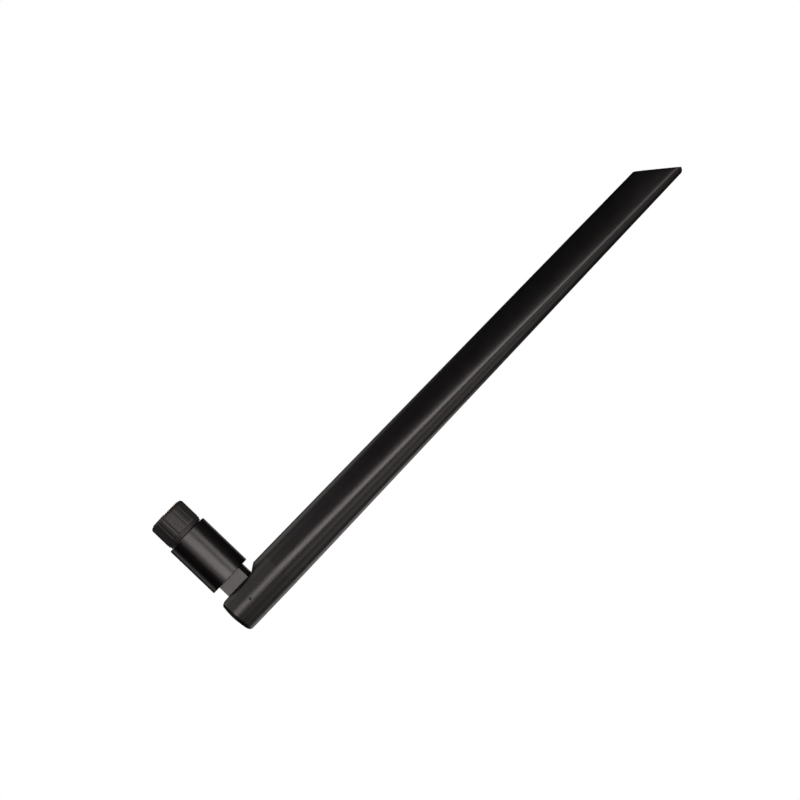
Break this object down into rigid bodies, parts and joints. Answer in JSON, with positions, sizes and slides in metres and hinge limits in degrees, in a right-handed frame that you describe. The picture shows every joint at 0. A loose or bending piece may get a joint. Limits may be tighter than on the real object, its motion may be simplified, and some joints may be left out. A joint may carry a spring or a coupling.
{
  "type": "omnidirectional antenna",
  "caption": "Black paddle antenna for a wireless router: tapering blade with an oblique tip, tilt hinge, swivel collar and a ribbed screw coupling.",
  "frame": {"origin": "centre of the coupling nut's mouth, on the connector's axis", "axes": "+X from the mouth into the connector, -X the way the jack leaves; +Z along the blade, away from the hinge; +Y along the hinge pin"},
  "size_m": [0.0333, 0.011, 0.1483],
  "materials": {
    "blade_plastic": "fine satin",
    "hinge_plastic": "fine satin",
    "collar_plastic": "satin",
    "grip_plastic": "satin, ribbed",
    "pin_steel": "turned",
    "spring_steel": "spring temper",
    "washer_nylon": "moulded",
    "nut_plating": "nickel plated",
    "gold_plating": "gold plated",
    "ptfe": "waxy",
    "silicone": "matte",
    "fr4": "solder-masked glass-epoxy",
    "copper_foil": "tinned edges",
    "solder": "bright fillet",
    "foam": "open cell",
    "coax_jacket": "extruded",
    "braid": "tinned braid",
    "wire": "silver plated"
  },
  "bodies": {
    "plug": {"plug_body": "gold_plating", "insulator": "ptfe", "socket_contact": "gold_plating", "gasket": "silicone", "snap_ring": "spring_steel", "friction_washer": "washer_nylon", "swivel_clip": "spring_steel", "crimp_ferrule": "nut_plating", "coax_braid_plug": "braid", "coax_core_plug": "ptfe", "coax_wire_plug": "wire", "coax_jacket_plug": "coax_jacket"},
    "nut": {"coupling_nut": "nut_plating", "knurled_grip": "grip_plastic"},
    "neck": {"swivel_neck": "hinge_plastic", "collar_sleeve": "collar_plastic", "coax_jacket_neck": "coax_jacket", "coax_hinge_bend": "coax_jacket"},
    "blade": {"radome_shell": "blade_plastic", "hinge_yoke": "hinge_plastic", "pivot_pins": "pin_steel", "dipole_board": "fr4", "ground_copper": "copper_foil", "radiator_copper": "copper_foil", "solder_joints": "solder", "foam_pads": "foam", "coax_jacket_blade": "coax_jacket", "coax_braid_blade": "braid", "coax_core_blade": "ptfe", "coax_wire_blade": "wire"}
  },
  "joints": [
    {"name": "nut_spin", "type": "hinge", "parent": "plug", "child": "nut", "pos_m": [0, 0, 0], "axis": [1, 0, 0], "continuous": true},
    {"name": "swivel", "type": "hinge", "parent": "plug", "child": "neck", "pos_m": [0.014, 0, 0], "axis": [1, 0, 0], "range_deg": [-180, 180]},
    {"name": "tilt", "type": "hinge", "parent": "neck", "child": "blade", "pos_m": [0.028, 0, 0], "axis": [0, 1, 0], "range_deg": [0, 90]}
  ]
}
